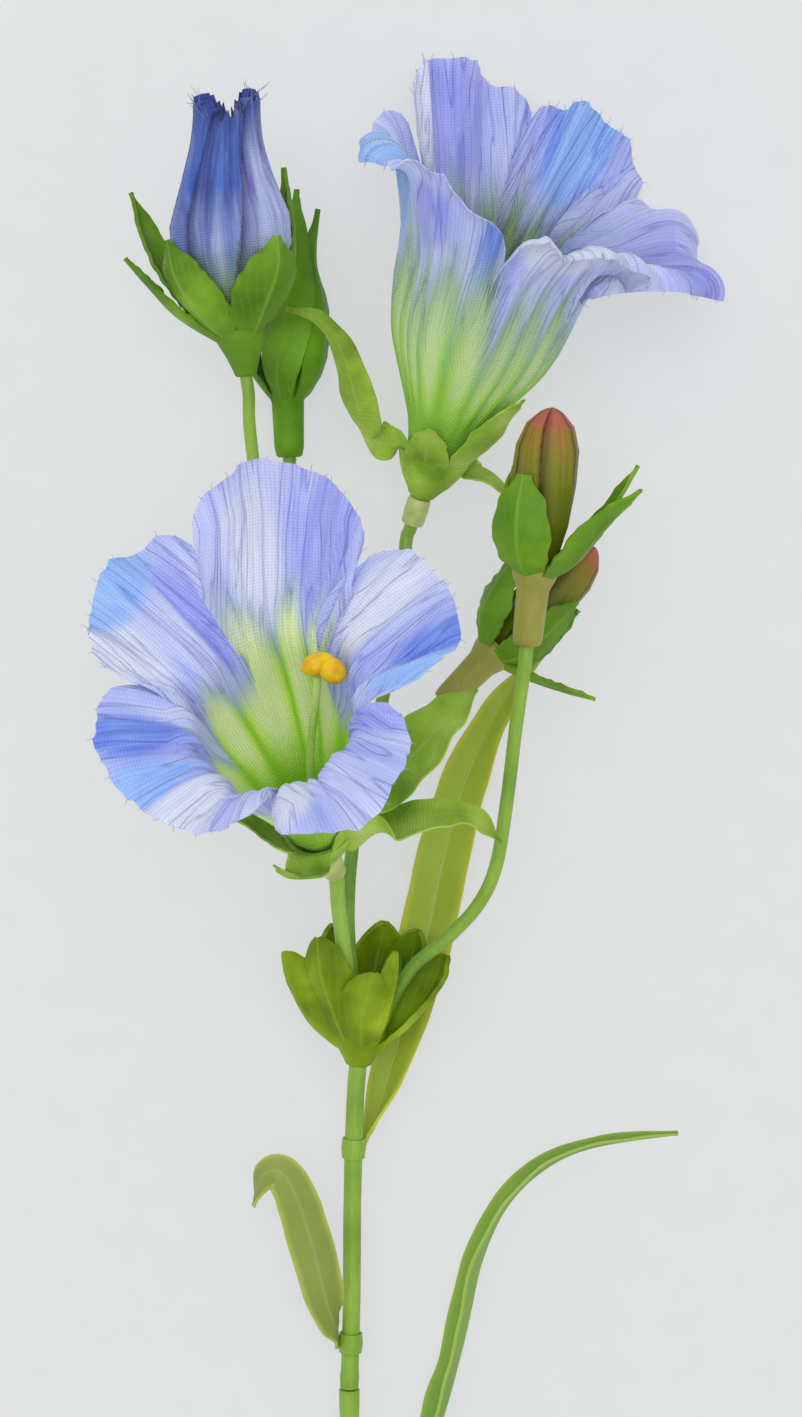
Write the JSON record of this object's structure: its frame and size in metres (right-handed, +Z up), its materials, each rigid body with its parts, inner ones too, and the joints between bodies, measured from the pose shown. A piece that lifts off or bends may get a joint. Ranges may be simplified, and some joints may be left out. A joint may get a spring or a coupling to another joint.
{
  "type": "gentian stem",
  "caption": "Cut gentian spray laid down: forked green stem with open blue trumpet blooms, closed buds and long arching leaves.",
  "frame": {"origin": "on the table, under the middle of the laid-down spray's bounding box", "axes": "+Y runs up the stem from the cut end to the blooms, +Z points up off the table, +X to the right as seen from above"},
  "size_m": [0.124, 0.3526, 0.1023],
  "materials": {
    "stem": "moulded green plastic, satin",
    "leaf": "moulded green plastic with yellowish edges, satin",
    "cloth_sepal": "heat-set green cloth",
    "bud_sepal": "moulded green plastic, satin",
    "petal": "heat-set woven cloth, blue to pale lilac",
    "bud_petal": "heat-set woven cloth, deep blue",
    "bud_red": "moulded plastic tinted red-brown",
    "ferrule": "pale soft plastic",
    "style": "pale green plastic",
    "stigma": "yellow plastic, glossy"
  },
  "bodies": {
    "root": {"lower_stem": "stem", "main_stem": "stem", "branch_cup": "stem", "front_stem": "stem", "upper_stem": "stem", "upper_fork": "stem", "right_bud_stem": "stem", "left_bud_stem": "stem", "green_bud_stem": "stem", "upper_bloom_stem": "stem", "back_bud_stem": "stem", "blue_bud_calyx": "stem", "green_bud": "stem", "leaf_lower_left": "leaf", "leaf_lower_right": "leaf", "leaf_back": "leaf", "front_calyx": "cloth_sepal", "upper_calyx": "cloth_sepal", "right_bud_calyx": "bud_sepal", "back_bud_calyx": "bud_sepal", "front_corolla": "petal", "upper_corolla": "petal", "blue_bud_petals": "bud_petal", "right_bud_body": "bud_red", "back_bud_body": "bud_red", "front_ferrule": "ferrule", "upper_ferrule": "ferrule", "front_style": "style", "upper_style": "style", "front_stigma": "stigma", "upper_stigma": "stigma"}
  },
  "joints": []
}
